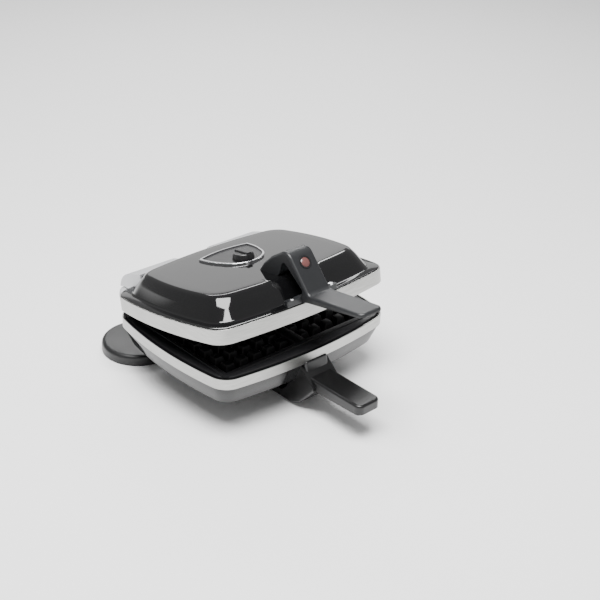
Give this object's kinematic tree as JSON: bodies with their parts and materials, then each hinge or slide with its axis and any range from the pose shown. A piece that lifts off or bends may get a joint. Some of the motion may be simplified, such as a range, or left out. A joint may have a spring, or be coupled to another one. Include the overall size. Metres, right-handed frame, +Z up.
{
  "type": "waffle maker",
  "caption": "Flip-over waffle maker: two heated grid plates in black shells with steel bands, hinged on a rear stand, with a lid handle, lower handle with foot, and a dial.",
  "frame": {"origin": "middle of the bounding box's bottom face, on the table under the machine", "axes": "+X to the machine's left as seen from the handles, +Y from the handles to the hinge, +Z up"},
  "size_m": [0.2748, 0.376, 0.189],
  "materials": {
    "gloss_black": "high gloss moulded phenolic",
    "brushed_steel": "fine lengthwise grain",
    "nonstick": "cast aluminium with a matte black non-stick coat",
    "handle_plastic": "satin",
    "stand_plastic": "satin",
    "stand_metal": "black paint",
    "silver_grey": "matte silver paint on a die casting",
    "steel": "plain drawn steel",
    "bright_screw": "polished",
    "chrome": "polished",
    "tray_aluminium": "mill finish sheet",
    "rubber": "matte",
    "red_lens": "clear red, unlit",
    "panel_black": "satin gloss",
    "ceramic": "unglazed"
  },
  "bodies": {
    "stand": {"stand_body": "stand_plastic", "stand_pads": "rubber", "stand_post": "stand_metal", "post_screws": "steel", "hinge_axle": "steel"},
    "lower_unit": {"lower_shell": "gloss_black", "lower_band": "brushed_steel", "lower_plate": "nonstick", "lower_heater": "steel", "lower_tray": "tray_aluminium", "lower_tray_screws": "steel", "lower_plate_clips": "steel", "lower_hinge_left": "silver_grey", "lower_hinge_right": "silver_grey", "lower_hinge_screws": "steel", "lower_handle": "handle_plastic", "lower_handle_screws": "steel", "foot_pad": "rubber", "cord_gland": "rubber", "terminal_block": "ceramic", "thermal_fuse": "ceramic"},
    "lid": {"lid_shell": "gloss_black", "upper_band": "brushed_steel", "upper_plate": "nonstick", "upper_heater": "steel", "upper_tray": "tray_aluminium", "upper_tray_screws": "steel", "upper_plate_clips": "steel", "hinge_cover_left": "silver_grey", "hinge_cover_right": "silver_grey", "upper_handle": "handle_plastic", "upper_handle_screws": "bright_screw", "lamp_bezel": "chrome", "lamp_lens": "red_lens", "lamp_holder": "panel_black", "panel_rim": "chrome", "control_panel": "panel_black", "thermostat": "steel"},
    "thermostat_knob": {"thermostat_knob": "panel_black", "thermostat_shaft": "steel"}
  },
  "joints": [
    {"name": "unit_swing", "type": "hinge", "parent": "stand", "child": "lower_unit", "pos_m": [0, 0.1403, 0.076], "axis": [-1, 0, 0], "range_deg": [0, 180]},
    {"name": "lid_hinge", "type": "hinge", "parent": "lower_unit", "child": "lid", "pos_m": [0, 0.1403, 0.076], "axis": [-1, 0, 0], "range_deg": [-10.29, 169.71]},
    {"name": "thermostat_turn", "type": "hinge", "parent": "lid", "child": "thermostat_knob", "pos_m": [0, 0.03444, 0.14116], "axis": [0, 0.1786, 0.9839], "range_deg": [0, 270]}
  ]
}
